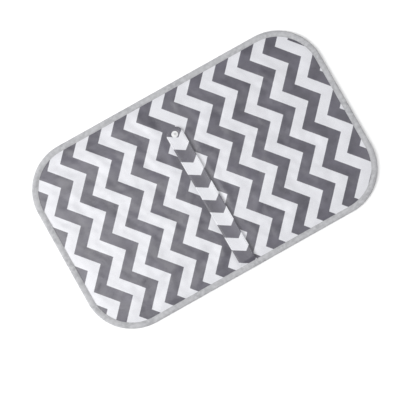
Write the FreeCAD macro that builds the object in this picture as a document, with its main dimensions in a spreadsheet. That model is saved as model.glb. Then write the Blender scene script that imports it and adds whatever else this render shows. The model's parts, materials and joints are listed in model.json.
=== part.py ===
"""Folding baby changing pad: a thin padded mat with a bound edge and a snap strap.

The mat lies printed side up. X runs along its length, Y across its width and Z up.
The origin is on the surface it lies on, below the middle of the mat. The strap's centre line
is parallel to Y, a few millimetres off the middle.

The mat folds in half along its long middle line, with the printed cover outside, and the
strap turns over the near edge, passes round the folded mat and snaps to the printed cover.
The mat is therefore two halves, and the strap is five lengths with a turning line between
each two. Turning lines of the strap lie in its upper face, which is the inside of each turn.
"""
import FreeCAD, Part
import math
import os
import re
import Sketcher

DRIVING_SIZES = {
    # the mat
    "pad_length": 574.0,
    "pad_width": 357.0,
    "pad_thickness": 5.0,
    "corner_radius": 88.0,
    "cover_thickness": 0.7,
    "liner_thickness": 0.5,
    "step_wall": 1.0,
    # the edge binding and its stitching
    "binding_width": 11.0,
    "tape_thickness": 0.7,
    "stitch_inset": 2.0,
    "thread_width": 0.6,
    "thread_height": 0.2,
    # the fold along the middle
    "crease_gap": 0.3,
    "crease_drop": 0.5,
    "fold_clearance": 0.7,
    # the strap
    "strap_place": -5.3,
    "strap_width": 31.0,
    "strap_thickness": 1.6,
    "strap_gap": 1.3,
    "strap_reach": 286.0,
    "strap_tip_radius": 14.0,
    "strap_bend_gap": 0.3,
    "strap_head": 3.0,
    "wrap_clearance": 0.5,
    # the snap fastener
    "snap_reach": 273.5,
    "snap_radius": 6.0,
    "snap_rim_fillet": 0.4,
    "socket_height": 1.0,
    "neck_radius": 3.4,
    "stud_flange": 0.8,
    "stud_ring_radius": 2.3,
    "stud_ring_height": 1.4,
    "stud_bore_radius": 1.6,
    "strap_cap_thickness": 0.9,
    "strap_post_head": 0.2,
    "socket_cap_thickness": 0.8,
    "socket_post_drop": 0.6,
    "patch_radius": 11.0,
    "patch_thickness": 0.4,
    "snap_fit": 0.1,
    # how far a cut runs past the faces that it opens
    "cut_overrun": 1.0,
}

# Places and sizes that follow from the driving ones.
HALF_LENGTH = "pad_length / 2"
HALF_WIDTH = "pad_width / 2"
TOP = "pad_thickness"
INNER_EDGE = f"({HALF_WIDTH} - binding_width)"
CORE_INSET = "(binding_width + step_wall)"
HALF_STRAP = "strap_width / 2"
STRAP_FLOOR = f"({TOP} + strap_gap)"
STRAP_FACE = f"({STRAP_FLOOR} + strap_thickness)"

# The folded mat: how far it reaches below the liner, and past the middle line.
FOLDED_DEPTH = "(pad_thickness + 2 * crease_drop + wrap_clearance)"
FOLDED_REACH = "(pad_thickness + crease_drop + fold_clearance)"
STRAP_STANDOFF = "(socket_height + stud_flange + snap_fit)"

# Turning lines of the strap, as places along Y while it lies flat.
TURN_ROOT = f"(strap_head + strap_bend_gap / 2 - {INNER_EDGE})"
OVER_EDGE = f"({HALF_WIDTH} + wrap_clearance + {TURN_ROOT})"
TURN_EDGE = f"({TURN_ROOT} + {OVER_EDGE})"
TURN_UNDER = f"({TURN_EDGE} + {STRAP_FACE} + {FOLDED_DEPTH})"
TURN_FOLD = f"({TURN_UNDER} + {HALF_WIDTH} + wrap_clearance + {FOLDED_REACH})"
TURN_TOP = f"({TURN_FOLD} + {FOLDED_DEPTH} + {TOP} + {STRAP_STANDOFF})"
STRAP_TIP = f"(strap_reach - {HALF_WIDTH})"
SNAP_PLACE = f"(snap_reach - {HALF_WIDTH})"
SOCKET_PLACE = f"({FOLDED_REACH} - ({SNAP_PLACE} - {TURN_TOP}))"

HALVES = {"front": -1, "back": 1}

doc = FreeCAD.newDocument("ChangingPad")
sheet = doc.addObject("Spreadsheet::Sheet", "Sizes")
for row, (alias, size) in enumerate(DRIVING_SIZES.items(), start=1):
    sheet.set(f"A{row}", alias)
    sheet.set(f"B{row}", str(size))
    sheet.setAlias(f"B{row}", alias)
doc.recompute()

sub_parts = []


def in_sheet(expression):
    """The expression with each driving size's name pointed at its cell."""
    return re.sub(r"[a-z][a-z_]+", lambda name: "Sizes." + name.group(), expression)


def value_of(expression):
    """The number that an expression gives now."""
    return float(sheet.evalExpression(in_sheet(expression)))


def bind(item, path, expression):
    """Tie one property of an object to the sheet."""
    item.setExpression(path, in_sheet(expression))


def new_body(label):
    """A body for one sub-part, whose label names its file."""
    body = doc.addObject("PartDesign::Body", label)
    body.Label = label
    sub_parts.append(body)
    return body


def new_sketch(body, name, height):
    """A sketch in the body's horizontal plane, at a height from the sheet."""
    sketch = body.newObject("Sketcher::SketchObject", f"{body.Name}_{name}")
    plane = [item for item in body.Origin.OriginFeatures if item.Role == "XY_Plane"][0]
    sketch.AttachmentSupport = [(plane, "")]
    sketch.MapMode = "FlatFace"
    bind(sketch, "AttachmentOffset.Base.z", height)
    return sketch


def dimension(sketch, name, expression, kind, *where):
    """A dimension of the sketch that follows the sheet."""
    index = sketch.addConstraint(Sketcher.Constraint(kind, *where, value_of(expression)))
    sketch.renameConstraint(index, name)
    bind(sketch, f"Constraints.{name}", expression)


def line(sketch, start, end):
    """One straight edge between two (x, y) points."""
    return sketch.addGeometry(Part.LineSegment(FreeCAD.Vector(*start, 0), FreeCAD.Vector(*end, 0)))


def join(sketch, kind, *pairs):
    """Join pairs of edge ends, as corners (Coincident) or smoothly (Tangent)."""
    for first, first_end, second, second_end in pairs:
        sketch.addConstraint(Sketcher.Constraint(kind, first, first_end, second, second_end))


def centre_on_strap(sketch):
    """Move a sketch sideways, so that x = 0 in it is the strap's centre line."""
    bind(sketch, "AttachmentOffset.Base.x", "strap_place")


def draw_rectangle(sketch, half_width, low, high):
    """A rectangle centred on the strap's centre line, from y = low to y = high."""
    centre_on_strap(sketch)
    wide, bottom, top = value_of(half_width), value_of(low), value_of(high)
    corners = [(-wide, bottom), (wide, bottom), (wide, top), (-wide, top)]
    edges = [line(sketch, corners[i], corners[(i + 1) % 4]) for i in range(4)]
    join(sketch, "Coincident", *[(edges[i], 2, edges[(i + 1) % 4], 1) for i in range(4)])
    for edge, kind in zip(edges, ("Horizontal", "Vertical", "Horizontal", "Vertical")):
        sketch.addConstraint(Sketcher.Constraint(kind, edge))
    dimension(sketch, "left", f"-({half_width})", "DistanceX", edges[3], 1)
    dimension(sketch, "right", half_width, "DistanceX", edges[1], 1)
    dimension(sketch, "low", low, "DistanceY", edges[0], 1)
    dimension(sketch, "high", high, "DistanceY", edges[2], 1)


def draw_rounded_end(sketch, half_width, square_end, rounded_end, radius, side):
    """A rectangle centred on the Y axis with the two corners of its far end rounded.

    side is 1 where the rounded end is the one with the larger y, and -1 where it isn't.
    """
    wide, square, far = value_of(half_width), value_of(square_end), value_of(rounded_end)
    round_size = value_of(radius)
    shoulder = far - side * round_size
    flat = wide - round_size
    left = line(sketch, (-wide, square), (-wide, shoulder))
    end = line(sketch, (-flat, far), (flat, far))
    right = line(sketch, (wide, shoulder), (wide, square))
    base = line(sketch, (wide, square), (-wide, square))
    arcs = []
    for centre_x, from_turn in ((-flat, 1 if side > 0 else 2), (flat, 0 if side > 0 else 3)):
        circle = Part.Circle(FreeCAD.Vector(centre_x, shoulder, 0), FreeCAD.Vector(0, 0, 1), round_size)
        arc = Part.ArcOfCircle(circle, from_turn * math.pi / 2, (from_turn + 1) * math.pi / 2)
        arcs.append(sketch.addGeometry(arc))
    # an arc runs anticlockwise, so which of its ends meets the side edge depends on the side
    at_left, at_end_left = (2, 1) if side > 0 else (1, 2)
    at_right, at_end_right = (1, 2) if side > 0 else (2, 1)
    join(sketch, "Tangent",
         (left, 2, arcs[0], at_left), (arcs[0], at_end_left, end, 1),
         (end, 2, arcs[1], at_end_right), (arcs[1], at_right, right, 1))
    join(sketch, "Coincident", (right, 2, base, 1), (base, 2, left, 1))
    for edge, kind in ((left, "Vertical"), (end, "Horizontal"), (right, "Vertical"), (base, "Horizontal")):
        sketch.addConstraint(Sketcher.Constraint(kind, edge))
    sketch.addConstraint(Sketcher.Constraint("Equal", arcs[0], arcs[1]))
    dimension(sketch, "corner", radius, "Radius", arcs[0])
    dimension(sketch, "left", f"-({half_width})", "DistanceX", left, 1)
    dimension(sketch, "right", half_width, "DistanceX", right, 2)
    dimension(sketch, "square", square_end, "DistanceY", base, 1)
    dimension(sketch, "rounded", rounded_end, "DistanceY", end, 1)


def draw_strap_end(sketch, start, end, radius):
    """The strap's last length, from y = start to its rounded tip at y = end."""
    centre_on_strap(sketch)
    draw_rounded_end(sketch, HALF_STRAP, start, end, radius, side=1)


def draw_circle(sketch, place, radius):
    """A circle on the strap's centre line."""
    centre_on_strap(sketch)
    centre = FreeCAD.Vector(0, value_of(place), 0)
    ring = sketch.addGeometry(Part.Circle(centre, FreeCAD.Vector(0, 0, 1), value_of(radius)))
    sketch.addConstraint(Sketcher.Constraint("PointOnObject", ring, 3, -2))
    dimension(sketch, "place", place, "DistanceY", ring, 3)
    dimension(sketch, "radius", radius, "Radius", ring)


def draw_half(sketch, side, inset, overrun="0"):
    """The outline of one half of the mat, set in from its edge, open past the middle by overrun."""
    draw_rounded_end(
        sketch,
        half_width=f"{HALF_LENGTH} - {inset}",
        square_end=f"{side} * (crease_gap / 2 - {overrun})",
        rounded_end=f"{side} * ({HALF_WIDTH} - {inset})",
        radius=f"corner_radius - {inset}",
        side=side,
    )


def pad(body, name, base, height, draw, *shape):
    """Add a plate: draw(sketch, *shape) at height base, and height thick."""
    sketch = new_sketch(body, name, base)
    draw(sketch, *shape)
    feature = body.newObject("PartDesign::Pad", f"{body.Name}_{name}_pad")
    feature.Profile = sketch
    bind(feature, "Length", height)


def pocket(body, name, top, depth, draw, *shape):
    """Cut downwards by depth from the height top, inside draw(sketch, *shape)."""
    sketch = new_sketch(body, name, top)
    draw(sketch, *shape)
    feature = body.newObject("PartDesign::Pocket", f"{body.Name}_{name}_pocket")
    feature.Profile = sketch
    bind(feature, "Length", depth)


def round_rim(body, height):
    """Round the outer rim of a disc at the given height."""
    doc.recompute()
    rim = [
        f"Edge{number}" for number, edge in enumerate(body.Shape.Edges, start=1)
        if abs(edge.BoundBox.ZMin - value_of(height)) < 1e-6
        and abs(edge.BoundBox.ZMax - value_of(height)) < 1e-6
        and abs(edge.Curve.Radius - value_of("snap_radius")) < 1e-6
    ]
    disc = body.Tip
    fillet = body.newObject("PartDesign::Fillet", f"{body.Name}_rim")
    fillet.Base = (disc, rim)
    bind(fillet, "Radius", "snap_rim_fillet")


def make_cover(name, side):
    """The printed cloth: its border lies under the binding, and the panel stands up flush with it."""
    body = new_body(f"cover_{name}")
    pad(body, "border", f"{TOP} - tape_thickness - cover_thickness", "cover_thickness",
        draw_half, side, "tape_thickness")
    pad(body, "panel", f"{TOP} - tape_thickness", "tape_thickness", draw_half, side, "binding_width")
    pocket(body, "underside", f"{TOP} - cover_thickness", "tape_thickness",
           draw_half, side, CORE_INSET, "cut_overrun")
    return body


def open_cover_for_strap_and_snap(body):
    """The slit that the strap's sewn end comes up through, and the hole for the snap's neck."""
    pocket(body, "strap_slit", f"{TOP} + cut_overrun", "tape_thickness + cover_thickness + 2 * cut_overrun",
           draw_rectangle, f"{HALF_STRAP} + snap_fit",
           f"-({HALF_WIDTH})", f"strap_head + snap_fit - {INNER_EDGE}")
    pocket(body, "snap_hole", f"{TOP} + cut_overrun", "cover_thickness + 2 * cut_overrun",
           draw_circle, SOCKET_PLACE, "neck_radius + snap_fit")


def make_liner(name, side):
    """The wipe-clean underside, stepped like the cover but the other way up."""
    body = new_body(f"liner_{name}")
    pad(body, "border", "tape_thickness", "liner_thickness", draw_half, side, "tape_thickness")
    pad(body, "panel", "0", "tape_thickness", draw_half, side, "binding_width")
    pocket(body, "upperside", "tape_thickness + liner_thickness", "tape_thickness",
           draw_half, side, CORE_INSET, "cut_overrun")


def make_wadding(name, side):
    """The soft filling between cover and liner, thinner where the binding grips it."""
    body = new_body(f"wadding_{name}")
    pad(body, "border", "tape_thickness + liner_thickness",
        f"{TOP} - 2 * tape_thickness - cover_thickness - liner_thickness",
        draw_half, side, "tape_thickness")
    pad(body, "core", "liner_thickness", f"{TOP} - cover_thickness - liner_thickness",
        draw_half, side, CORE_INSET)
    return body


def sink_snap_into_wadding(body):
    """The hollows that the snap's patch and the snap's back press into the filling."""
    pocket(body, "patch_hollow", f"{TOP} - cover_thickness", "patch_thickness",
           draw_circle, SOCKET_PLACE, "patch_radius + snap_fit")
    pocket(body, "snap_hollow", f"{TOP} - cover_thickness", "patch_thickness + socket_cap_thickness",
           draw_circle, SOCKET_PLACE, "snap_radius + snap_fit")


def make_binding(name, side):
    """The tape round the edge: a channel that wraps cover, filling and liner."""
    body = new_body(f"binding_{name}")
    pad(body, "edge", "0", TOP, draw_half, side, "0")
    pocket(body, "channel", f"{TOP} - tape_thickness", f"{TOP} - 2 * tape_thickness",
           draw_half, side, "tape_thickness", "cut_overrun")
    pocket(body, "window", f"{TOP} + cut_overrun", f"{TOP} + 2 * cut_overrun",
           draw_half, side, "binding_width", "cut_overrun")


def make_edge_stitching(name, side):
    """The line of thread that sews the binding down, near its inner edge."""
    body = new_body(f"edge_stitching_{name}")
    pad(body, "thread", TOP, "thread_height",
        draw_half, side, "(binding_width - stitch_inset - thread_width)")
    pocket(body, "inside", f"{TOP} + thread_height + cut_overrun", "thread_height + 2 * cut_overrun",
           draw_half, side, "(binding_width - stitch_inset)", "cut_overrun")


def make_strap_root():
    """The strap's sewn end: a tongue in the binding's seam and a head that stands up inside it."""
    body = new_body("strap_root")
    pad(body, "tongue", f"{TOP} - tape_thickness - cover_thickness", "cover_thickness",
        draw_rectangle, HALF_STRAP, f"tape_thickness - {HALF_WIDTH}", f"step_wall - {INNER_EDGE}")
    pad(body, "head", f"{TOP} - tape_thickness",
        "tape_thickness + strap_gap + strap_thickness - strap_bend_gap",
        draw_rectangle, HALF_STRAP, f"-{INNER_EDGE}", f"strap_head - {INNER_EDGE}")


def make_strap_length(label, start, end):
    """One flat length of the strap between two turning lines."""
    body = new_body(label)
    pad(body, "web", STRAP_FLOOR, "strap_thickness", draw_rectangle, HALF_STRAP,
        f"{start} + strap_bend_gap / 2", f"{end} - strap_bend_gap / 2")


def make_strap_end(label):
    """The last length of the strap, with its rounded tip and the hole for the snap's post."""
    body = new_body(label)
    pad(body, "web", STRAP_FLOOR, "strap_thickness", draw_strap_end,
        f"{TURN_TOP} + strap_bend_gap / 2", STRAP_TIP, "strap_tip_radius")
    pocket(body, "post_hole", f"{STRAP_FACE} + cut_overrun", "strap_thickness + 2 * cut_overrun",
           draw_circle, SNAP_PLACE, "stud_bore_radius")


def make_snap_stud():
    """The strap's half of the snap: a disc with a raised ring, open in the middle."""
    body = new_body("snap_stud")
    pad(body, "disc", STRAP_FACE, "stud_flange", draw_circle, SNAP_PLACE, "snap_radius")
    pad(body, "ring", f"{STRAP_FACE} + stud_flange", "stud_ring_height",
        draw_circle, SNAP_PLACE, "stud_ring_radius")
    pocket(body, "bore", f"{STRAP_FACE} + stud_flange + stud_ring_height + cut_overrun",
           "stud_flange + stud_ring_height + 2 * cut_overrun",
           draw_circle, SNAP_PLACE, "stud_bore_radius")
    round_rim(body, f"{STRAP_FACE} + stud_flange")


def make_strap_snap_cap():
    """The cap on the other side of the strap, whose post passes through and is headed in the stud."""
    body = new_body("strap_snap_cap")
    pad(body, "disc", f"{STRAP_FLOOR} - strap_cap_thickness", "strap_cap_thickness",
        draw_circle, SNAP_PLACE, "snap_radius")
    pad(body, "post", STRAP_FLOOR, "strap_thickness + stud_flange + strap_post_head",
        draw_circle, SNAP_PLACE, "stud_bore_radius - snap_fit")
    round_rim(body, f"{STRAP_FLOOR} - strap_cap_thickness")


def make_snap_socket():
    """The mat's half of the snap: a disc on the cover with a neck through it, and a bore."""
    body = new_body("snap_socket")
    pad(body, "neck", f"{TOP} - cover_thickness - patch_thickness", "cover_thickness + patch_thickness",
        draw_circle, SOCKET_PLACE, "neck_radius")
    pad(body, "disc", TOP, "socket_height", draw_circle, SOCKET_PLACE, "snap_radius")
    pocket(body, "bore", f"{TOP} + socket_height + cut_overrun",
           "socket_height + cover_thickness + patch_thickness + 2 * cut_overrun",
           draw_circle, SOCKET_PLACE, "stud_ring_radius + snap_fit")
    round_rim(body, f"{TOP} + socket_height")


def make_socket_cap():
    """The back of the mat's snap, inside the filling, with its post up the socket's neck."""
    body = new_body("snap_socket_cap")
    under_patch = f"{TOP} - cover_thickness - patch_thickness"
    pad(body, "disc", f"{under_patch} - socket_cap_thickness", "socket_cap_thickness",
        draw_circle, SOCKET_PLACE, "snap_radius")
    pad(body, "post", under_patch, "cover_thickness + patch_thickness - socket_post_drop",
        draw_circle, SOCKET_PLACE, "stud_ring_radius")


def make_snap_patch():
    """The disc of strong cloth that the mat's snap is set through, against the back of the cover."""
    body = new_body("snap_patch")
    pad(body, "disc", f"{TOP} - cover_thickness - patch_thickness", "patch_thickness",
        draw_circle, SOCKET_PLACE, "patch_radius")
    pocket(body, "hole", f"{TOP} - cover_thickness + cut_overrun", "patch_thickness + 2 * cut_overrun",
           draw_circle, SOCKET_PLACE, "neck_radius + snap_fit")


def check_model():
    """Stop if any object failed, any sub-part is not sound, or any cut removed nothing."""
    for item in doc.Objects:
        if "Invalid" in item.State or "Error" in item.State:
            raise RuntimeError(f"{item.Label} failed: {item.State}")
        if item.TypeId == "PartDesign::Pocket" and item.Shape.Volume >= item.BaseFeature.Shape.Volume:
            raise RuntimeError(f"{item.Label} cuts nothing")
    for body in sub_parts:
        if body.Shape.isNull() or not body.Shape.isValid() or len(body.Shape.Solids) != 1:
            raise RuntimeError(f"{body.Label} is not one sound solid")


for half, side in HALVES.items():
    cover = make_cover(half, side)
    wadding = make_wadding(half, side)
    if half == "front":
        open_cover_for_strap_and_snap(cover)
        sink_snap_into_wadding(wadding)
    make_liner(half, side)
    make_binding(half, side)
    make_edge_stitching(half, side)

make_strap_root()
make_strap_length("strap_over_edge", TURN_ROOT, TURN_EDGE)
make_strap_length("strap_down_side", TURN_EDGE, TURN_UNDER)
make_strap_length("strap_under_run", TURN_UNDER, TURN_FOLD)
make_strap_length("strap_up_fold", TURN_FOLD, TURN_TOP)
make_strap_end("strap_snap_end")
make_snap_stud()
make_strap_snap_cap()
make_snap_socket()
make_socket_cap()
make_snap_patch()

doc.recompute()
check_model()

os.makedirs("parts", exist_ok=True)
for body in sub_parts:
    body.Shape.exportStep(f"parts/{body.Label}.step")
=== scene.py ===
"""The looks of a folding changing pad: printed cover, liner, filling, binding, strap and snap.

The pad lies printed side up. X runs along its length and Y across it, with the strap's sewn
end at the edge with the lowest Y. Sizes are in metres. Every place comes from the CAD frame.
"""
import json
import math

import bmesh
import bpy
from bpy.props import FloatProperty, FloatVectorProperty, PointerProperty
from mathutils import Matrix, Vector, noise


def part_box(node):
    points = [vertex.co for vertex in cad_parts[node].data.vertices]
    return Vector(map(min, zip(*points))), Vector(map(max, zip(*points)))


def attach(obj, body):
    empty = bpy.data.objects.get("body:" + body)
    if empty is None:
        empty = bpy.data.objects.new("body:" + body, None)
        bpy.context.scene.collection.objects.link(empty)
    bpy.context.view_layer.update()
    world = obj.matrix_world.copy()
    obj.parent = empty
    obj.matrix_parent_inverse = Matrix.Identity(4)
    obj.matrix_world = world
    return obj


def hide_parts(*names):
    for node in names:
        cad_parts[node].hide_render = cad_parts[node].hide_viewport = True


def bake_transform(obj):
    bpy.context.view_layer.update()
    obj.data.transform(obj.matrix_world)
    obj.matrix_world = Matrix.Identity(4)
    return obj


bl_info = {
    "name": "Folding changing pad",
    "version": (1, 0, 0),
    "blender": (4, 5, 0),
    "location": "3D View > Sidebar > Changing pad",
    "description": "Cloth, binding, strap and snap of a changing pad, built round its CAD frame",
    "category": "Object",
}

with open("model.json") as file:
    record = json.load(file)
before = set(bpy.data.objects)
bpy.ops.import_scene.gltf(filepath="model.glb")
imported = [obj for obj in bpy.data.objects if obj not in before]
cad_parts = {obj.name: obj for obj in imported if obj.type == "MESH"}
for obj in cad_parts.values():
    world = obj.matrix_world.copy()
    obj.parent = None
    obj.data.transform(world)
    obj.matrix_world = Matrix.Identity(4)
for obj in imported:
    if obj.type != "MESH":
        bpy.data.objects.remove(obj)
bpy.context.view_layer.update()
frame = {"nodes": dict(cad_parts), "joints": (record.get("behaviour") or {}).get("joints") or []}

BINDING_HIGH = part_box("binding_back")[1]
HALF_X = BINDING_HIGH.x
HALF_Y = BINDING_HIGH.y
THICK = BINDING_HIGH.z
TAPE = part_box("liner_front")[1].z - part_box("wadding_front")[0].z
BINDING_WIDTH = 0.011
# How far inside the mat's edge the cover and liner end, hidden under the tape.
CLOTH_INSET = TAPE + 0.0022
# Rows of points on each side of the fold.
FOLD_STEPS = 7
# How far inside the strap's edge its seam runs, and how many cells the strap has across.
STRAP_SEAM = 0.0024
STRAP_COLUMNS = 22
STRAP_LOW, STRAP_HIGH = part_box("strap_under_run")
STRAP_HALF = (STRAP_HIGH.x - STRAP_LOW.x) / 2
STRAP_MIDDLE = (STRAP_HIGH.x + STRAP_LOW.x) / 2
STRAP_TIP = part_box("strap_snap_end")[1].y
STUD_LOW, STUD_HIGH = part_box("snap_stud")
SNAP_Y = (STUD_LOW.y + STUD_HIGH.y) / 2
SOCKET_LOW, SOCKET_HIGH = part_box("snap_socket")
SOCKET_Y = (SOCKET_LOW.y + SOCKET_HIGH.y) / 2
CAP_LOW, CAP_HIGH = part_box("strap_snap_cap")
SNAP_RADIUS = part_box("snap_socket_cap")[1].x - STRAP_MIDDLE
TURNS = [joint for joint in frame["joints"] if joint["name"].startswith("strap_")]


# ---------------------------------------------------------------- settings

def metres(name, description, default):
    """A setting that is a length in metres."""
    return FloatProperty(name=name, description=description, default=default, unit="LENGTH")


class PadShape(bpy.types.PropertyGroup):
    """Sizes of the mat and its edge."""
    corner: metres("Corner radius", "Radius of the mat's corners", 0.088)
    cell: metres("Cloth cell", "Spacing of the points that shape the cloth", 0.0032)
    puff: metres("Puff", "How far the filling lifts the cover above its seam", 0.0012)
    wave: metres("Wave", "Height of the cover's unevenness", 0.0012)
    pucker: metres("Pucker", "Height of the puckers along the seam", 0.00045)
    wrinkle: metres("Wrinkle", "Height of the liner's loose wrinkles", 0.0013)
    fold: metres("Fold", "Half the width of cloth that turns round the fold", 0.0045)
    stitch: metres("Stitch length", "Length of one stitch of the edge seam", 0.0029)
    stitch_gap: metres("Stitch gap", "Space between two stitches", 0.0009)


class StrapShape(bpy.types.PropertyGroup):
    """Sizes of the strap and how it lies."""
    thick: metres("Thickness", "Thickness of the folded strap cloth", 0.0014)
    tip: metres("Tip radius", "Radius of the strap's rounded tip", 0.0135)
    tilt: metres("Tilt", "How far one long edge lifts off the mat", 0.0008)
    curl: metres("Curl", "How far both long edges curl up", 0.0003)
    sag: metres("Sag", "How far the strap sags between root and snap", 0.00035)
    lean: FloatProperty(name="Lean", description="How far the strap lies askew, as a slope", default=0.012)
    shift: metres("Shift", "How far the strap lies off its sewn line, sideways", -0.0012)
    turn: metres("Turn", "Half the length of strap that bends at each turn", 0.0050)


class PrintLook(bpy.types.PropertyGroup):
    """The zigzag print."""
    pitch: metres("Pitch", "Width of one dark and one light stripe", 0.0511)
    period: metres("Zigzag length", "Length of one whole zigzag", 0.0757)
    height: metres("Zigzag height", "Sideways reach of the zigzag", 0.0334)
    skew: FloatProperty(name="Skew", description="How far the stripes of the mat lean off its ends",
                        default=-0.0305)
    drift: FloatProperty(name="Drift", description="How far the zigzags of the mat lean off its long edges",
                         default=0.009)
    strap_pitch: metres("Strap pitch", "The strap's own stripe width", 0.0520)
    strap_height: metres("Strap zigzag height", "The strap's own zigzag reach", 0.0274)
    strap_skew: FloatProperty(name="Strap skew", description="How far the strap's stripes lean",
                              default=-0.09)
    strap_drift: FloatProperty(name="Strap drift", description="How far the strap's zigzags lean",
                               default=0.027)
    dark: FloatVectorProperty(name="Dark stripe", description="Colour of the dark stripes",
                              default=(0.084, 0.080, 0.103), subtype="COLOR")
    light: FloatVectorProperty(name="Light stripe", description="Colour of the light stripes",
                               default=(0.675, 0.677, 0.711), subtype="COLOR")


class StageLook(bpy.types.PropertyGroup):
    """The camera, the lights and the floor."""
    heading: FloatProperty(name="Heading", description="Turn of the camera about the vertical",
                           default=math.radians(-40.29), subtype="ANGLE")
    elevation: FloatProperty(name="Elevation", description="Angle of the camera above the floor",
                             default=math.radians(87.98), subtype="ANGLE")
    roll: FloatProperty(name="Roll", description="Turn of the camera about its own line of sight",
                        default=math.radians(10.94), subtype="ANGLE")
    distance: metres("Distance", "From the camera to the point it looks at", 2.0473)
    aim: FloatVectorProperty(name="Aim", description="The point on the floor that the camera looks at",
                             default=(-0.0205, -0.0473, 0.0), subtype="XYZ")
    lens: FloatProperty(name="Lens", description="Focal length in millimetres", default=100.0)
    glow: FloatProperty(name="Overhead light", description="Power of the soft light overhead, to the left",
                        default=13.0)
    side: FloatProperty(name="Side light", description="Power of the far light on the left", default=260.0)
    fill: FloatProperty(name="Fill light", description="Power of the weak light on the right", default=9.0)
    world: FloatProperty(name="Room light", description="Strength of the light from all round", default=0.36)


# ---------------------------------------------------------------- shapes of the cloth

def smooth_step(low, high, value):
    """0 below low, 1 above high and a smooth curve between."""
    share = min(1.0, max(0.0, (value - low) / (high - low)))
    return share * share * (3 - 2 * share)


def inset_of(x, y):
    """How far a point lies inside the mat's rounded outline."""
    corner = bpy.context.scene.pad_shape.corner
    across, along = abs(x) - (HALF_X - corner), abs(y) - (HALF_Y - corner)
    outside = math.hypot(max(across, 0.0), max(along, 0.0))
    return corner - outside - min(max(across, along), 0.0)


def outline_station(x, y):
    """How far round the mat a point lies, as a length along the outline of its corners' middle."""
    corner = bpy.context.scene.pad_shape.corner
    straight_x, straight_y = HALF_X - corner, HALF_Y - corner
    quarter = straight_y + corner * math.pi / 2 + straight_x
    along_side = min(abs(y), straight_y)
    along_end = straight_x - min(abs(x), straight_x)
    turned = 0.0
    if abs(x) > straight_x and abs(y) > straight_y:
        turned = corner * math.atan2(abs(y) - straight_y, abs(x) - straight_x)
    elif abs(y) > straight_y:
        turned = corner * math.pi / 2
    station = along_side + turned + (along_end if abs(x) < straight_x else 0.0)
    if x < 0:
        station = 2 * quarter - station
    return station if y >= 0 else -station


def pinch(inset, reach):
    """0 at the binding's inner edge, rising to 1 over about three times that reach."""
    return 1 - math.exp(-max(0.0, inset - BINDING_WIDTH) / reach)


def cover_height(x, y):
    """Height of the printed cover above the floor."""
    shape = bpy.context.scene.pad_shape
    inset = inset_of(x, y)
    loft = pinch(inset, 0.011)
    seam = THICK - 0.0011
    broad = noise.noise(Vector((x / 0.034, y / 0.030, 3.1)))
    small = noise.noise(Vector((x / 0.014, y / 0.012, 8.7)))
    slant = noise.noise(Vector(((x + 0.55 * y) / 0.011, (y - 0.55 * x) / 0.05, 5.3)))
    crumple = noise.noise(Vector((outline_station(x, y) / 0.0085, inset / 0.03, 1.7)))
    near_seam = math.exp(-max(0.0, inset - BINDING_WIDTH) / 0.013)
    rise = seam + shape.puff * loft + shape.wave * loft * (broad + 0.6 * small + 0.45 * slant)
    past_seam = smooth_step(BINDING_WIDTH - 0.002, BINDING_WIDTH + 0.004, inset)
    rise += shape.pucker * near_seam * crumple * past_seam
    under_strap = smooth_step(STRAP_HALF + 0.013, STRAP_HALF + 0.002, abs(x - strap_middle(y)))
    pressed = THICK - 0.0005
    return rise - under_strap * max(0.0, rise - pressed)


def liner_height(x, y):
    """Height of the liner above the floor: mostly flat on it, with loose slanting wrinkles."""
    shape = bpy.context.scene.pad_shape
    inset = inset_of(x, y)
    loft = pinch(inset, 0.012)
    sideways, along = x * 0.86 + y * 0.5, y * 0.86 - x * 0.5
    bend = 0.02 * noise.noise(Vector((x / 0.09, y / 0.09, 2.2)))
    folds = noise.noise(Vector(((sideways + bend) / 0.017, along / 0.075, 4.4)))
    patchy = 0.5 + 0.5 * noise.noise(Vector((x / 0.12, y / 0.1, 9.5)))
    crumple = noise.noise(Vector((outline_station(x, y) / 0.010, inset / 0.03, 6.2)))
    near_seam = math.exp(-max(0.0, inset - BINDING_WIDTH) / 0.016)
    rise = 0.0006 * (1 - loft) + shape.wrinkle * loft * max(0.0, folds) * patchy
    rise += 0.0004 * near_seam * max(0.0, crumple)
    return max(0.0, rise)


def strap_middle(y):
    """Where the strap's centre line lies: the strap is a little askew."""
    shape = bpy.context.scene.strap_shape
    return STRAP_MIDDLE + shape.shift - shape.lean * (y + 0.03)


def strap_height(x, y):
    """Height of the middle of the strap's cloth above the floor."""
    shape = bpy.context.scene.strap_shape
    root = -(HALF_Y - BINDING_WIDTH)
    flat = STRAP_HIGH.z - shape.thick / 2
    across = (x - strap_middle(y)) / STRAP_HALF
    uneven = noise.noise(Vector((0.0, y / 0.045, 7.7)))
    near_snap = smooth_step(0.022, 0.008, abs(y - SNAP_Y))
    over_socket = smooth_step(0.024, 0.004, abs(y - SOCKET_Y))
    loose = smooth_step(root + 0.004, root + 0.03, y) * (1 - near_snap)
    height = flat - shape.sag * loose * (1 - over_socket) + 0.0002 * uneven * loose
    lifted = shape.tilt * max(0.0, across) ** 3 * (1 + 0.4 * uneven)
    height += loose * (lifted + shape.curl * across * across)
    sewn_in = smooth_step(root + 0.007, root - 0.001, y)
    crumple = noise.noise(Vector((x / 0.006, y / 0.010, 2.9))) * smooth_step(root + 0.022, root, y)
    from_snap = math.hypot(x - strap_middle(SNAP_Y), y - SNAP_Y)
    height -= 0.0006 * math.exp(-((from_snap - SNAP_RADIUS - 0.0004) / 0.0011) ** 2)
    return height * (1 - sewn_in) + (THICK - 0.0003) * sewn_in + 0.0005 * crumple * (1 - sewn_in)


# ---------------------------------------------------------------- mesh helpers

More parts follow.
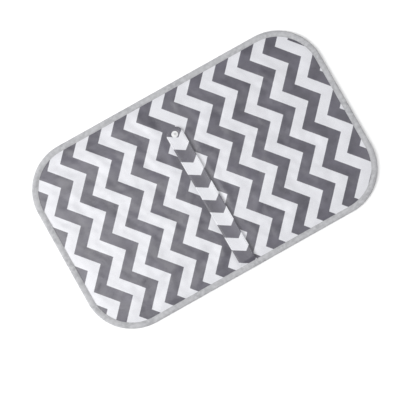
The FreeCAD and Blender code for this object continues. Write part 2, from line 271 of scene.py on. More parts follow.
def finish_mesh(bm, name, smooth_angle=math.radians(50)):
    """Turn a bmesh into an object of that name, with smooth shading broken at sharp edges."""
    bmesh.ops.recalc_face_normals(bm, faces=bm.faces[:])
    for face in bm.faces:
        face.smooth = True
    for edge in bm.edges:
        edge.smooth = len(edge.link_faces) == 2 and edge.calc_face_angle(0.0) < smooth_angle
    mesh = bpy.data.meshes.new(name)
    bm.to_mesh(mesh)
    bm.free()
    piece = bpy.data.objects.new(name, mesh)
    bpy.context.scene.collection.objects.link(piece)
    return piece


def cut_lines(half, spacing, rows=()):
    """Evenly spaced places from -half to half, with extra rows of places."""
    count = int(half / spacing)
    places = {round(i * spacing, 6) for i in range(-count, count + 1)}
    places = {place for place in places if all(abs(place - row) > spacing / 3 for row in rows)}
    return sorted(places | {round(row, 6) for row in rows})


def fold_rows():
    """Rows of points close together where the cloth turns round the fold."""
    reach = bpy.context.scene.pad_shape.fold
    return [reach * i / FOLD_STEPS for i in range(-FOLD_STEPS, FOLD_STEPS + 1)]


def rounded_sheet(inset, spacing):
    """A flat sheet of cloth with round corners, set in from the mat's edge, cut into cells."""
    bm = bmesh.new()
    half_x, half_y = HALF_X - inset, HALF_Y - inset
    ends = [bm.verts.new((side_x * half_x, side_y * half_y, 0))
            for side_x, side_y in ((-1, -1), (1, -1), (1, 1), (-1, 1))]
    bm.faces.new(ends)
    bmesh.ops.bevel(bm, geom=ends, offset=bpy.context.scene.pad_shape.corner - inset, offset_type="OFFSET",
                    segments=28, profile=0.5, affect="VERTICES", material=-1)
    for normal, places in (((1, 0, 0), cut_lines(half_x, spacing)),
                           ((0, 1, 0), cut_lines(half_y, spacing, fold_rows()))):
        for place in places:
            bmesh.ops.bisect_plane(bm, geom=bm.verts[:] + bm.edges[:] + bm.faces[:],
                                   plane_co=Vector(normal) * place, plane_no=normal)
    return bm


def new_points(made):
    """The points that an extrusion made."""
    return [item for item in made["geom"] if isinstance(item, bmesh.types.BMVert)]


def doubled(bm):
    """Give a sheet a second face, joined to it round the edge, and return the points of both."""
    first = bm.verts[:]
    made = bmesh.ops.extrude_face_region(bm, geom=bm.faces[:], use_keep_orig=True)
    return first, new_points(made)


def shell(bm, height, thickness):
    """Shape a flat sheet by height(x, y), the height of its outer face, and thicken it inwards."""
    outer, inner = doubled(bm)
    for vert in outer:
        vert.co.z = height(vert.co.x, vert.co.y)
    for vert in inner:
        vert.co.z = height(vert.co.x, vert.co.y) - thickness


def wrap_fold(piece):
    """Bake the place of a piece of the mat into its mesh."""
    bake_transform(piece)


def outline_places(inset, spacing):
    """Evenly spaced (x, y, heading) places round the mat, set in from its edge."""
    corner = bpy.context.scene.pad_shape.corner
    radius = corner - inset
    straight_x, straight_y = 2 * (HALF_X - corner), 2 * (HALF_Y - corner)
    arc = radius * math.pi / 2
    total = 2 * (straight_x + straight_y) + 4 * arc
    count = round(total / spacing)
    legs = []
    heading = math.pi / 2
    start = Vector((HALF_X - inset, -straight_y / 2, 0))
    for straight in (straight_y, straight_x, straight_y, straight_x):
        ahead = Vector((math.cos(heading), math.sin(heading), 0))
        legs.append((straight, start.copy(), heading, False))
        start = start + ahead * straight
        legs.append((arc, start.copy(), heading, True))
        left = Vector((-ahead.y, ahead.x, 0))
        start = start + (ahead + left) * radius
        heading += math.pi / 2
    for index in range(count):
        station = index * total / count
        leg = 0
        while leg < len(legs) - 1 and station > legs[leg][0]:
            station -= legs[leg][0]
            leg += 1
        _, origin, heading, is_arc = legs[leg]
        ahead = Vector((math.cos(heading), math.sin(heading), 0))
        left = Vector((-ahead.y, ahead.x, 0))
        if is_arc:
            turned = station / radius
            place = origin + ahead * radius * math.sin(turned) + left * radius * (1 - math.cos(turned))
            yield place.x, place.y, heading + turned
        else:
            place = origin + ahead * station
            yield place.x, place.y, heading


def add_stitch(bm, x, y, z, heading, length, width, height):
    """One stitch: a small rounded bar of thread along heading."""
    place = Matrix.Translation((x, y, z)) @ Matrix.Rotation(heading, 4, "Z")
    bmesh.ops.create_uvsphere(bm, u_segments=6, v_segments=4, radius=0.5,
                              matrix=place @ Matrix.Diagonal((length, width, height, 1.0)))


# ---------------------------------------------------------------- material helpers

class Nodes:
    """Builds the node tree of one material."""

    def __init__(self, name):
        self.material = bpy.data.materials.new(name)
        self.material.use_nodes = True
        self.tree = self.material.node_tree
        self.shader = self.tree.nodes["Principled BSDF"]
        self.coordinates = self.tree.nodes.new("ShaderNodeTexCoord")

    def add(self, kind, inputs=(), **settings):
        """A node of that kind, with its settings, and its inputs linked or set."""
        node = self.tree.nodes.new(kind)
        for key, value in settings.items():
            setattr(node, key, value)
        for socket, value in inputs:
            if isinstance(value, bpy.types.NodeSocket):
                self.tree.links.new(value, node.inputs[socket])
            else:
                node.inputs[socket].default_value = value
        return node

    def math(self, operation, *values):
        """A Math node's result."""
        return self.add("ShaderNodeMath", list(enumerate(values)), operation=operation).outputs[0]

    def map_range(self, value, low, high, out_low, out_high):
        """A value carried smoothly from one range to another."""
        inputs = [("Value", value), ("From Min", low), ("From Max", high),
                  ("To Min", out_low), ("To Max", out_high)]
        return self.add("ShaderNodeMapRange", inputs, interpolation_type="SMOOTHSTEP").outputs[0]

    def mix(self, share, first, second, blend="MIX"):
        """Two colours mixed."""
        node = self.add("ShaderNodeMix", data_type="RGBA", blend_type=blend)
        for index, value in ((0, share), (6, first), (7, second)):
            if isinstance(value, bpy.types.NodeSocket):
                self.tree.links.new(value, node.inputs[index])
            else:
                node.inputs[index].default_value = value
        return node.outputs[2]

    def noise(self, scale, detail=3.0):
        """The value of a Noise texture in object space."""
        inputs = [("Vector", self.coordinates.outputs["Object"]), ("Scale", scale),
                  ("Detail", detail), ("Roughness", 0.55)]
        return self.add("ShaderNodeTexNoise", inputs).outputs[0]

    def ribs(self, vector, axis, thread):
        """The height of threads lying side by side along one axis."""
        part = self.add("ShaderNodeSeparateXYZ", [(0, vector)]).outputs[axis]
        phase = self.math("MULTIPLY", part, math.tau / thread)
        return self.math("MULTIPLY_ADD", self.math("SINE", phase), 0.5, 0.5)

    def weave(self, vector, thread):
        """The height of a plain weave of that thread spacing."""
        warp, weft = self.ribs(vector, 0, thread), self.ribs(vector, 1, thread)
        split = self.add("ShaderNodeSeparateXYZ", [(0, vector)])
        over = self.math("SINE", self.math("MULTIPLY", split.outputs[0], math.pi / thread))
        under = self.math("SINE", self.math("MULTIPLY", split.outputs[1], math.pi / thread))
        which = self.math("GREATER_THAN", self.math("MULTIPLY", over, under), 0.0)
        first = self.math("MULTIPLY", warp, which)
        second = self.math("MULTIPLY", weft, self.math("SUBTRACT", 1.0, which))
        return self.math("ADD", first, second)

    def bump(self, height, strength, distance, normal=None):
        """A bump from a height, over an earlier one if given."""
        inputs = [("Height", height), ("Strength", strength), ("Distance", distance)]
        if normal is not None:
            inputs.append(("Normal", normal))
        return self.add("ShaderNodeBump", inputs).outputs[0]

    def shaded(self, base, shade):
        """A colour made darker or lighter by a shade around 1."""
        grey = self.add("ShaderNodeCombineColor", [(0, shade), (1, shade), (2, shade)])
        return self.mix(1.0, base, grey.outputs[0], "MULTIPLY")

    def set(self, socket, value):
        """Link or set one of the shader's inputs."""
        if isinstance(value, bpy.types.NodeSocket):
            self.tree.links.new(value, self.shader.inputs[socket])
        else:
            self.shader.inputs[socket].default_value = value


def colour(values, share=1.0):
    """An opaque colour from three numbers, each times a share."""
    return (*(value * share for value in values), 1.0)


def printed_cloth(name, along_strap):
    """Cotton printed with zigzag stripes, which run across the mat, or across the strap."""
    look = bpy.context.scene.print_look
    made = Nodes(name)
    object_place = made.coordinates.outputs["Object"]
    wobble = made.math("MULTIPLY_ADD", made.noise(260.0, 2.0), 0.0007, -0.00035)
    split = made.add("ShaderNodeSeparateXYZ", [(0, object_place)])
    if along_strap:
        across, along = split.outputs[1], split.outputs[0]
        pitch, height, skew, drift = look.strap_pitch, look.strap_height, look.strap_skew, look.strap_drift
        first_point, stripe_centre = -0.0029, 0.0482
    else:
        across, along = split.outputs[0], split.outputs[1]
        pitch, height, skew, drift = look.pitch, look.height, look.skew, look.drift
        first_point, stripe_centre = 0.1465, -0.0447
    zig_place = made.math("SUBTRACT", made.math("MULTIPLY_ADD", across, drift, along), first_point)
    from_point = made.math("PINGPONG", zig_place, look.period / 2)
    zigzag = made.math("MULTIPLY", from_point, height / (look.period / 2))
    lean = made.math("MULTIPLY", made.math("SUBTRACT", along, first_point), skew)
    place = made.math("ADD", made.math("SUBTRACT", across, zigzag), lean)
    place = made.math("ADD", made.math("SUBTRACT", place, stripe_centre), wobble)
    from_centre = made.math("PINGPONG", place, pitch / 2)
    ink = made.map_range(from_centre, pitch / 4 + 0.00025, pitch / 4 - 0.00025, 0.0, 1.0)
    # Painted sheen: the blotches lighten the dark and the light stripes by about the same amount, standing
    # in for patches of reflection off the glossy cloth; the same blotches also set the roughness.
    blotch = made.noise(34.0, 4.0)
    fleck = made.noise(900.0, 2.0)
    patchy = made.map_range(blotch, 0.3, 0.7, 0.0, 1.0)
    dark = made.mix(patchy, colour(look.dark, 0.84), colour(look.dark, 1.20))
    light = made.mix(patchy, colour(look.light, 0.965), colour(look.light, 1.015))
    base = made.mix(ink, light, dark)
    cloth = made.weave(object_place, 0.00062)
    thread_shade = made.map_range(cloth, 0.0, 1.0, 0.88, 1.04)
    thread_shade = made.math("MULTIPLY", thread_shade, made.map_range(fleck, 0.25, 0.75, 0.95, 1.05))
    made.set("Base Color", made.shaded(base, thread_shade))
    made.set("Roughness", made.map_range(blotch, 0.3, 0.7, 0.29, 0.40))
    made.set("Specular IOR Level", 0.9)
    made.set("Sheen Weight", 0.12)
    made.set("Sheen Roughness", 0.5)
    creases = made.bump(made.noise(120.0, 4.0), 0.12, 0.0012)
    made.set("Normal", made.bump(cloth, 0.25, 0.00012, creases))
    return made.material


def liner_cloth():
    """Smooth white coated cloth, faintly crinkled."""
    made = Nodes("wipe_clean_cloth")
    blotch = made.noise(22.0, 4.0)
    made.set("Base Color", made.mix(blotch, (0.74, 0.74, 0.76, 1), (0.80, 0.80, 0.82, 1)))
    made.set("Roughness", made.map_range(blotch, 0.3, 0.7, 0.36, 0.5))
    made.set("Coat Weight", 0.15)
    made.set("Coat Roughness", 0.35)
    weave = made.weave(made.coordinates.outputs["Object"], 0.0005)
    creases = made.bump(made.noise(70.0, 5.0), 0.25, 0.002)
    made.set("Normal", made.bump(weave, 0.12, 0.0001, creases))
    return made.material


def wadding_cloth():
    """Loose white filling."""
    made = Nodes("wadding_fibre")
    made.set("Base Color", made.mix(made.noise(60.0), (0.74, 0.74, 0.72, 1), (0.84, 0.84, 0.83, 1)))
    made.set("Roughness", 0.95)
    made.set("Sheen Weight", 0.3)
    made.set("Normal", made.bump(made.noise(500.0, 6.0), 0.6, 0.001))
    return made.material


def binding_cloth():
    """Pale grey woven tape with fine ribs across it, read from the tape's own map."""
    made = Nodes("binding_tape_cloth")
    tape_place = made.coordinates.outputs["UV"]
    ribs = made.ribs(tape_place, 0, 0.0009)
    rows = made.ribs(tape_place, 1, 0.0014)
    weave = made.math("MULTIPLY_ADD", rows, 0.4, made.math("MULTIPLY", ribs, 0.6))
    mottle = made.noise(160.0, 4.0)
    streak = made.noise(28.0, 2.0)
    tone = made.mix(made.map_range(mottle, 0.3, 0.7, 0.0, 1.0),
                    (0.345, 0.347, 0.362, 1), (0.495, 0.497, 0.514, 1))
    tone = made.mix(made.map_range(streak, 0.35, 0.65, 0.0, 0.5), tone, (0.505, 0.507, 0.522, 1))
    shade = made.map_range(weave, 0.0, 1.0, 0.86, 1.05)
    made.set("Base Color", made.shaded(tone, shade))
    made.set("Roughness", 0.72)
    made.set("Sheen Weight", 0.25)
    made.set("Sheen Roughness", 0.45)
    soft = made.bump(mottle, 0.2, 0.0008)
    made.set("Normal", made.bump(weave, 0.5, 0.00025, soft))
    return made.material


def sewing_thread(name, shade):
    """Twisted thread of one shade of grey, with painted shade in the grooves of its twist and painted
    highlight on its ridges.
    """
    made = Nodes(name)
    twist_shade = made.add("ShaderNodeTexWave", [("Vector", made.coordinates.outputs["Object"]), ("Scale", 900.0),
                                           ("Distortion", 2.0)], bands_direction="DIAGONAL")
    # Painted shade and highlight: darker where the twist dips, lighter where it rises.
    made.set("Base Color", made.mix(twist_shade.outputs[0], colour([shade] * 3, 0.86), colour([shade] * 3, 1.12)))
    made.set("Roughness", 0.6)
    made.set("Sheen Weight", 0.3)
    made.set("Normal", made.bump(twist_shade.outputs[0], 0.5, 0.0002))
    return made.material


def patch_cloth():
    """Stiff plain-woven interlining, with painted shade between its threads."""
    made = Nodes("interlining_cloth")
    weave = made.weave(made.coordinates.outputs["Object"], 0.0009)
    # Painted shade: darker where the weave dips between threads.
    made.set("Base Color", made.mix(weave, (0.5, 0.5, 0.48, 1), (0.72, 0.72, 0.70, 1)))
    made.set("Roughness", 0.85)
    made.set("Normal", made.bump(weave, 0.6, 0.0003))
    return made.material


def snap_plastic():
    """Moulded white plastic with a soft shine and faint moulding marks."""
    made = Nodes("moulded_white_plastic")
    haze = made.noise(420.0, 3.0)
    made.set("Base Color", made.mix(haze, (0.70, 0.70, 0.71, 1), (0.76, 0.76, 0.765, 1)))
    made.set("Roughness", made.map_range(haze, 0.3, 0.7, 0.22, 0.34))
    made.set("Subsurface Weight", 0.08)
    made.set("Subsurface Radius", (0.002, 0.002, 0.002))
    made.set("Coat Weight", 0.2)
    made.set("Normal", made.bump(haze, 0.08, 0.0004))
    return made.material


def dress(piece, material):
    """Give a piece its material."""
    piece.data.materials.clear()
    piece.data.materials.append(material)


# ---------------------------------------------------------------- pieces of the mat

class PAD_OT_cover(bpy.types.Operator):
    """Make the printed cover"""
    bl_idname = "pad.cover"
    bl_label = "Printed cover"

    def execute(self, context):
        bm = rounded_sheet(CLOTH_INSET, context.scene.pad_shape.cell)
        shell(bm, cover_height, 0.0006)
        piece = finish_mesh(bm, "printed_cover")
        dress(piece, printed_cloth("cover_print", along_strap=False))
        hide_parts("cover_front", "cover_back")
        wrap_fold(piece)
        return {"FINISHED"}


class PAD_OT_liner(bpy.types.Operator):
    """Make the wipe-clean liner"""
    bl_idname = "pad.liner"
    bl_label = "Wipe-clean liner"

    def execute(self, context):
        bm = rounded_sheet(CLOTH_INSET, context.scene.pad_shape.cell * 1.15)
        shell(bm, liner_height, -0.0004)
        piece = finish_mesh(bm, "wipe_clean_liner")
        dress(piece, liner_cloth())
        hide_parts("liner_front", "liner_back")
        wrap_fold(piece)
        return {"FINISHED"}


class PAD_OT_wadding(bpy.types.Operator):
    """Make the filling between cover and liner"""
    bl_idname = "pad.wadding"
    bl_label = "Filling"

    def execute(self, context):
        bm = rounded_sheet(TAPE + 0.0035, context.scene.pad_shape.cell * 2.4)
        lower, upper = doubled(bm)
        for vert in lower:
            vert.co.z = liner_height(vert.co.x, vert.co.y) + 0.0010
        for vert in upper:
            vert.co.z = cover_height(vert.co.x, vert.co.y) - 0.0012
            if math.hypot(vert.co.x - STRAP_MIDDLE, vert.co.y - SOCKET_Y) < 0.015:
                vert.co.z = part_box("snap_socket_cap")[0].z - 0.0002
        piece = finish_mesh(bm, "wadding_pad")
        dress(piece, wadding_cloth())
        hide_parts("wadding_front", "wadding_back")
        wrap_fold(piece)
        return {"FINISHED"}


def root_lift(x):
    """How far the binding stands up where the strap's end is sewn in under it."""
    return 0.0008 * smooth_step(STRAP_HALF + 0.004, STRAP_HALF - 0.003, abs(x - strap_middle(-HALF_Y)))


# The tape's outer face, from its inner edge round to the middle of the mat's side, as places
# set in from the mat's edge and heights above the middle of its thickness.
BINDING_SECTION = (
    (0.0110, 0.00160), (0.0108, 0.00225), (0.0101, 0.00246), (0.0094, 0.00200), (0.0087, 0.00240),
    (0.0062, 0.00262), (0.0040, 0.00255), (0.0022, 0.00225), (0.0010, 0.00170), (0.0002, 0.00090),
)


class PAD_OT_binding(bpy.types.Operator):
    """Make the tape that binds the edge"""
    bl_idname = "pad.binding"
    bl_label = "Edge binding"

    def execute(self, context):
        shape = context.scene.pad_shape
        middle = THICK / 2
        bm = bmesh.new()
        outer = [(inset, middle + rise) for inset, rise in BINDING_SECTION]
        outer += [(0.0, middle)]
        outer += [(inset, middle - min(rise, middle)) for inset, rise in reversed(BINDING_SECTION)]
        inner = []
        for inset, height in reversed(outer):
            share = (height - middle) / middle
            inner.append((inset + TAPE * (1 - min(1.0, abs(share))), middle + share * (middle - TAPE)))
        section = [bm.verts.new((HALF_X - inset, 0, height)) for inset, height in outer + inner[1:-1]]
        loop = [bm.edges.new((section[i], section[(i + 1) % len(section)])) for i in range(len(section))]
        loop = self.run(bm, loop, Vector((0, 1, 0)), self.side_steps(shape))
        centre = Vector((HALF_X - shape.corner, HALF_Y - shape.corner, 0))
        turned = bmesh.ops.spin(bm, geom=self.with_ends(loop), cent=centre, axis=(0, 0, 1),
                                angle=math.pi / 2, steps=40, use_merge=False, use_duplicate=False)
        loop = [item for item in turned["geom_last"] if isinstance(item, bmesh.types.BMEdge)]
        steps = [(HALF_X - shape.corner) / 48] * 48
        self.run(bm, loop, Vector((-1, 0, 0)), steps)
        for axis in "XY":
            bmesh.ops.mirror(bm, geom=bm.verts[:] + bm.edges[:] + bm.faces[:], axis=axis, merge_dist=1e-5)
        bmesh.ops.remove_doubles(bm, verts=bm.verts[:], dist=1e-6)
        self.lay_by_hand(bm, middle)
        piece = finish_mesh(bm, "edge_binding", math.radians(75))
        self.map_along_tape(piece.data)
        dress(piece, binding_cloth())
        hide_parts("binding_front", "binding_back")
        wrap_fold(piece)
        return {"FINISHED"}

    @staticmethod
    def side_steps(shape):
        """Steps from the fold to the corner: short ones round the fold, then longer ones."""
        short = shape.fold / FOLD_STEPS
        rest = HALF_Y - shape.corner - FOLD_STEPS * short
        return [short] * FOLD_STEPS + [rest / 22] * 22

    @staticmethod
    def with_ends(loop):
        """A loop of edges with their ends."""
        return list({vert for edge in loop for vert in edge.verts}) + loop

    @staticmethod
    def run(bm, loop, ahead, steps):
        """Extrude a loop of edges ahead, step by step, and return the last one."""
        for step in steps:
            made = bmesh.ops.extrude_edge_only(bm, edges=loop)
            ends = new_points(made)
            bmesh.ops.translate(bm, verts=ends, vec=ahead * step)
            loop = [item for item in made["geom"] if isinstance(item, bmesh.types.BMEdge)
                    and all(vert in ends for vert in item.verts)]
        return loop

    @staticmethod
    def lay_by_hand(bm, middle):
        """Make the tape a little uneven, and lift it over the strap's sewn-in end."""
        for vert in bm.verts:
            station = outline_station(vert.co.x, vert.co.y)
            if vert.co.z > middle:
                lift = 0.00016 * noise.noise(Vector((station / 0.021, 0.0, 5.5)))
                lift += 0.00010 * noise.noise(Vector((station / 0.006, 1.0, 5.5)))
                if vert.co.y < 0:
                    lift += root_lift(vert.co.x)
                vert.co.z += lift * min(1.0, (vert.co.z - middle) / 0.001)

    @staticmethod
    def map_along_tape(mesh):
        """Map the tape: first along it, then across it, in metres."""
        layer = mesh.uv_layers.new(name="tape")
        for face in mesh.polygons:
            stations = [outline_station(*mesh.vertices[mesh.loops[i].vertex_index].co[:2])
                        for i in face.loop_indices]
            seam = max(stations) - min(stations) > 0.5
            for i, station in zip(face.loop_indices, stations):
                point = mesh.vertices[mesh.loops[i].vertex_index].co
                if seam:
                    station = abs(station)
                layer.data[i].uv = (station, inset_of(point.x, point.y) + point.z)


class PAD_OT_edge_stitches(bpy.types.Operator):
    """Make the stitches that hold the binding"""
    bl_idname = "pad.edge_stitches"
    bl_label = "Edge stitches"

    def execute(self, context):
        shape = context.scene.pad_shape
        bm = bmesh.new()
        line = BINDING_SECTION[3][0]
        for x, y, heading in outline_places(line, shape.stitch + shape.stitch_gap):
            lift = root_lift(x) if y < 0 else 0.0
            add_stitch(bm, x, y, THICK - 0.0003 + lift, heading + 0.05, shape.stitch, 0.00062, 0.00050)
            add_stitch(bm, x, y, 0.00030, heading + 0.05, shape.stitch, 0.00058, 0.00050)
        piece = finish_mesh(bm, "edge_stitches")
        dress(piece, sewing_thread("binding_thread", 0.46))
        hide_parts("edge_stitching_front", "edge_stitching_back")
        wrap_fold(piece)
        return {"FINISHED"}


# ---------------------------------------------------------------- the strap

def strap_half_width(y):
    """Half the strap's width, which closes round its tip."""
    tip = bpy.context.scene.strap_shape.tip
    past = max(0.0, y - (STRAP_TIP - tip))
    return STRAP_HALF - tip + math.sqrt(max(0.0, tip * tip - past * past))


def strap_pieces():
    """(number, start, end, turn) of each length of strap round one turning line."""
    turns = [joint["pos_m"][1] for joint in TURNS]
    limits = [-(HALF_Y - TAPE - 0.002)]
    limits += [(first + second) / 2 for first, second in zip(turns, turns[1:])]
    limits += [STRAP_TIP]
    return [(i, limits[i], limits[i + 1], turns[i]) for i in range(len(turns))]


STRAP_NODES = (("strap_root", "strap_over_edge"), ("strap_down_side",), ("strap_under_run",),
               ("strap_up_fold",), ("strap_snap_end",))
STRAP_NAMES = ("strap_at_root", "strap_at_edge", "strap_at_under", "strap_at_fold", "strap_at_tip")


def strap_rows(start, end, turn, reach):
    """Places along the strap for rows of points: close together at the turn and round the tip."""
    rows = {start, end}
    rows |= {turn + reach * i / 5 for i in range(-5, 6)}
    count = max(2, int((end - start) / 0.003))
    rows |= {start + (end - start) * i / count for i in range(count + 1)}
    tip = bpy.context.scene.strap_shape.tip
    rows |= {STRAP_TIP - tip + tip * math.sin(math.pi / 2 * i / 12) for i in range(13)}
    kept = []
    for row in sorted(row for row in rows if start - 1e-7 <= row <= end + 1e-7):
        if not kept or row - kept[-1] > 0.0002:
            kept.append(row)
    kept[-1] = end
    return kept


def bend_strap_piece(piece, number, turn, reach):
    """Bake the place of a length of strap into its mesh."""
    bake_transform(piece)


class PAD_OT_strap(bpy.types.Operator):
    """Make the strap, in lengths that each hold one turning line"""
    bl_idname = "pad.strap"
    bl_label = "Strap"

    def execute(self, context):
        shape = context.scene.strap_shape
        cloth = printed_cloth("strap_print", along_strap=True)
        for number, start, end, turn in strap_pieces():
            bm = bmesh.new()
            rows = strap_rows(start, end, turn, shape.turn)
            line = [bm.verts.new((-1 + 2 * i / STRAP_COLUMNS, rows[0], 0)) for i in range(STRAP_COLUMNS + 1)]
            edges = [bm.edges.new(pair) for pair in zip(line, line[1:])]
            for before, after in zip(rows, rows[1:]):
                edges = PAD_OT_binding.run(bm, edges, Vector((0, 1, 0)), [after - before])
            upper, lower = doubled(bm)
            for side, verts in ((1, upper), (-1, lower)):
                for vert in verts:
                    self.place(vert, side, shape)
            piece = finish_mesh(bm, STRAP_NAMES[number], math.radians(60))
            dress(piece, cloth)
            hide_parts(*STRAP_NODES[number])
            bend_strap_piece(piece, number, turn, shape.turn)
        return {"FINISHED"}

    @staticmethod
    def place(vert, side, shape):
        """Put a point, given as a share of the strap's width, on its upper or lower face."""
        share, y = vert.co.x, vert.co.y
        x = share * strap_half_width(y)
        edge = STRAP_HALF * (1 - abs(share))
        rounding = 1 - 0.55 * math.exp(-edge / 0.0006)
        seam = 1 - 0.16 * math.exp(-((edge - STRAP_SEAM) / 0.0008) ** 2)
        vert.co.x = strap_middle(y) + x
        vert.co.z = strap_height(vert.co.x, y) + side * shape.thick / 2 * rounding * seam


class PAD_OT_strap_stitches(bpy.types.Operator):
    """Make the stitches along the strap's edges"""
    bl_idname = "pad.strap_stitches"
    bl_label = "Strap stitches"

    def execute(self, context):
        shape = context.scene.strap_shape
        thread = sewing_thread("strap_thread", 0.30)
        length, gap = 0.0026, 0.0010
        for number, start, end, turn in strap_pieces():
            bm = bmesh.new()
            for y in self.places(max(start, -(HALF_Y - BINDING_WIDTH) + 0.001), end, length + gap):
                if y > STRAP_TIP - shape.tip:
                    continue
                for side in (-1, 1):
                    self.add(bm, strap_middle(y) + side * (STRAP_HALF - STRAP_SEAM), y, math.pi / 2, length)
            if number == len(TURNS) - 1:
                self.round_tip(bm, length + gap, length)
            piece = finish_mesh(bm, STRAP_NAMES[number] + "_stitches")
            dress(piece, thread)
            bend_strap_piece(piece, number, turn, shape.turn)
        return {"FINISHED"}

    @staticmethod
    def places(start, end, spacing):
        """Places on one even row of stitches that starts at the strap's root."""
        first = math.ceil((start + HALF_Y) / spacing)
        last = math.floor((end + HALF_Y) / spacing)
        return [index * spacing - HALF_Y for index in range(first, last + 1)
                if start + spacing / 2 < index * spacing - HALF_Y < end - spacing / 2]

    @staticmethod
    def add(bm, x, y, heading, length):
        """A stitch on the strap's upper face, and one below it."""
        half = bpy.context.scene.strap_shape.thick / 2
        height = strap_height(x, y)
        for side in (-1, 1):
            add_stitch(bm, x, y, height + side * (half - 0.00008), heading, length, 0.0004, 0.0003)

    def round_tip(self, bm, spacing, length):
        """Carry the row of stitches round the strap's tip."""
        tip = bpy.context.scene.strap_shape.tip
        radius = tip - STRAP_SEAM
        flat = STRAP_HALF - tip
        count = round(math.pi * radius / spacing)
        for index in range(count + 1):
            turned = math.pi * index / count
            side = flat if turned < math.pi / 2 else -flat
            y = STRAP_TIP - tip + radius * math.sin(turned)
            self.add(bm, strap_middle(y) + side + radius * math.cos(turned), y, turned + math.pi / 2, length)


# ---------------------------------------------------------------- the snap

def turned_piece(name, outline, place):
    """A round piece, spun from an outline of (radius, height) points about an upright axis."""
    bm = bmesh.new()
    points = [bm.verts.new((radius, 0, height)) for radius, height in outline]
    edges = [bm.edges.new((points[i], points[(i + 1) % len(points)])) for i in range(len(points))
             if not (outline[i][0] == 0 and outline[(i + 1) % len(points)][0] == 0)]
    bmesh.ops.spin(bm, geom=points + edges, cent=(0, 0, 0), axis=(0, 0, 1), angle=math.tau,
                   steps=48, use_merge=True, use_duplicate=False)
    bmesh.ops.remove_doubles(bm, verts=bm.verts[:], dist=1e-6)
    bmesh.ops.translate(bm, verts=bm.verts[:], vec=place)
    return finish_mesh(bm, name, math.radians(40))


class PAD_OT_snaps(bpy.types.Operator):
    """Make the snap's stud, cap and socket, and dress what lies inside the mat"""
    bl_idname = "pad.snaps"
    bl_label = "Snap fastener"

    def execute(self, context):
        plastic = snap_plastic()
        snap_x = strap_middle(SNAP_Y)
        top = STUD_HIGH.z - STUD_LOW.z
        stud = turned_piece("snap_stud_disc", [
            (0.0016, 0.0), (SNAP_RADIUS - 0.0002, 0.0), (SNAP_RADIUS, 0.00025),
            (SNAP_RADIUS - 0.0001, 0.0006),
            (SNAP_RADIUS - 0.0006, 0.0008), (SNAP_RADIUS - 0.0014, 0.00076), (0.0038, 0.0006),
            (0.0026, 0.0006), (0.00225, 0.00085), (0.00222, top - 0.0007), (0.0023, top - 0.0004),
            (0.0021, top), (0.0018, top), (0.0016, top - 0.0002)], (snap_x, SNAP_Y, STUD_LOW.z))
        cap_height = CAP_HIGH.z - CAP_LOW.z
        cap = turned_piece("snap_cap_disc", [
            (0.0, 0.00012), (0.0022, 0.0), (0.0046, 0.00016), (SNAP_RADIUS - 0.0003, 0.00045),
            (SNAP_RADIUS, 0.0007), (SNAP_RADIUS - 0.0002, 0.0009), (0.0014, 0.0009),
            (0.0014, cap_height - 0.0003), (0.0011, cap_height),
            (0.0, cap_height)], (snap_x, SNAP_Y, CAP_LOW.z))
        depth = SOCKET_HIGH.z - SOCKET_LOW.z
        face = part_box("snap_socket_cap")[1].z - SOCKET_LOW.z
        socket = turned_piece("snap_socket_disc", [
            (0.00242, 0.0), (0.0033, 0.0), (0.0034, 0.0002), (0.0034, depth - 0.001),
            (SNAP_RADIUS - 0.0002, depth - 0.001),
            (SNAP_RADIUS, depth - 0.0007), (SNAP_RADIUS - 0.0002, depth - 0.0002),
            (SNAP_RADIUS - 0.0008, depth),
            (0.0042, depth - 0.00012), (0.0036, depth - 0.0003), (0.0030, depth - 0.00005),
            (0.0026, depth - 0.00005),
            (0.00242, depth - 0.0003), (0.00242, face + 0.0001)], (snap_x, SOCKET_Y, SOCKET_LOW.z))
        for piece, node, body in ((stud, "snap_stud", "strap_5"), (cap, "strap_snap_cap", "strap_5"),
                                  (socket, "snap_socket", "front_half")):
            dress(piece, plastic)
            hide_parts(node)
            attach(piece, body)
        for node, material in (("snap_socket_cap", plastic), ("snap_patch", patch_cloth())):
            frame["nodes"][node].data.materials.clear()
            frame["nodes"][node].data.materials.append(material)
        return {"FINISHED"}


# ---------------------------------------------------------------- the stage

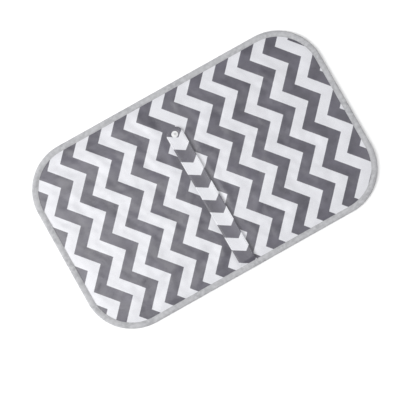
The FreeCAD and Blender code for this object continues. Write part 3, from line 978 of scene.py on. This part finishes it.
class PAD_OT_stage(bpy.types.Operator):
    """Make the floor, the lights and the camera"""
    bl_idname = "pad.stage"
    bl_label = "Stage"

    def execute(self, context):
        look = context.scene.stage_look
        self.make_floor()
        self.make_lights(look)
        self.make_camera(look)
        context.scene.view_settings.view_transform = "Standard"
        return {"FINISHED"}

    @staticmethod
    def make_floor():
        """A plain pale floor."""
        bm = bmesh.new()
        bmesh.ops.create_grid(bm, x_segments=1, y_segments=1, size=6.0)
        bmesh.ops.translate(bm, verts=bm.verts[:], vec=(0, 0, -0.0002))
        floor = finish_mesh(bm, "floor")
        made = Nodes("floor_paint")
        made.set("Base Color", (0.95, 0.95, 0.95, 1))
        made.set("Roughness", 0.9)
        made.set("Specular IOR Level", 0.1)
        floor.data.materials.append(made.material)

    @staticmethod
    def make_lights(look):
        """Even light from all round, soft lights overhead and on the left, and a weak one on the right."""
        world = bpy.data.worlds.new("studio")
        world.use_nodes = True
        sky = world.node_tree.nodes["Background"]
        sky.inputs["Color"].default_value = (0.985, 0.99, 1.0, 1)
        sky.inputs["Strength"].default_value = look.world
        bpy.context.scene.world = world
        for name, power, place, size in (("overhead", look.glow, (-0.66, 0.08, 1.7), (0.9, 1.3)),
                                         ("side", look.side, (-5.0, 0.9, 3.4), (2.3, 3.0)),
                                         ("fill", look.fill, (1.5, -0.1, 1.3), (0.8, 1.2))):
            lamp = bpy.data.lights.new(name, "AREA")
            lamp.shape = "RECTANGLE"
            lamp.size, lamp.size_y = size
            lamp.energy = power
            holder = bpy.data.objects.new(name, lamp)
            holder.location = place
            holder.rotation_euler = (-holder.location).to_track_quat("-Z", "Y").to_euler()
            bpy.context.scene.collection.objects.link(holder)

    @staticmethod
    def make_camera(look):
        """A long lens, nearly straight above the mat."""
        sideways = Vector((math.cos(look.heading), math.sin(look.heading), 0))
        back = Vector((math.sin(look.heading) * math.cos(look.elevation),
                       -math.cos(look.heading) * math.cos(look.elevation), math.sin(look.elevation)))
        upward = back.cross(sideways)
        right = sideways * math.cos(look.roll) + upward * math.sin(look.roll)
        up = upward * math.cos(look.roll) - sideways * math.sin(look.roll)
        camera = bpy.data.objects.new("camera", bpy.data.cameras.new("camera"))
        camera.data.lens = look.lens
        camera.data.sensor_width = 36.0
        turn = Matrix((right, up, back)).transposed().to_4x4()
        camera.matrix_world = Matrix.Translation(Vector(look.aim) + back * look.distance) @ turn
        bpy.context.scene.collection.objects.link(camera)
        bpy.context.scene.camera = camera


# ---------------------------------------------------------------- the add-on

class PAD_PT_panel(bpy.types.Panel):
    """Lists the pieces of the changing pad"""
    bl_idname = "PAD_PT_panel"
    bl_label = "Changing pad"
    bl_space_type = "VIEW_3D"
    bl_region_type = "UI"
    bl_category = "Changing pad"

    def draw(self, context):
        for operator in PIECE_OPERATORS:
            self.layout.operator(operator.bl_idname)


PIECE_OPERATORS = (PAD_OT_cover, PAD_OT_liner, PAD_OT_wadding, PAD_OT_binding, PAD_OT_edge_stitches,
                   PAD_OT_strap, PAD_OT_strap_stitches, PAD_OT_snaps, PAD_OT_stage)
SETTINGS = {"pad_shape": PadShape, "strap_shape": StrapShape,
            "print_look": PrintLook, "stage_look": StageLook}


def register():
    """Register the settings, the operators and the panel."""
    for name, group in SETTINGS.items():
        bpy.utils.register_class(group)
        setattr(bpy.types.Scene, name, PointerProperty(type=group))
    for kind in (*PIECE_OPERATORS, PAD_PT_panel):
        bpy.utils.register_class(kind)


def unregister():
    """Take out everything that register() put in."""
    for kind in reversed((*PIECE_OPERATORS, PAD_PT_panel)):
        bpy.utils.unregister_class(kind)
    for name, group in reversed(SETTINGS.items()):
        delattr(bpy.types.Scene, name)
        bpy.utils.unregister_class(group)


def main():
    """Build every piece."""
    register()
    for operator in PIECE_OPERATORS:
        family, verb = operator.bl_idname.split(".")
        getattr(getattr(bpy.ops, family), verb)()


if __name__ == "__main__":
    main()
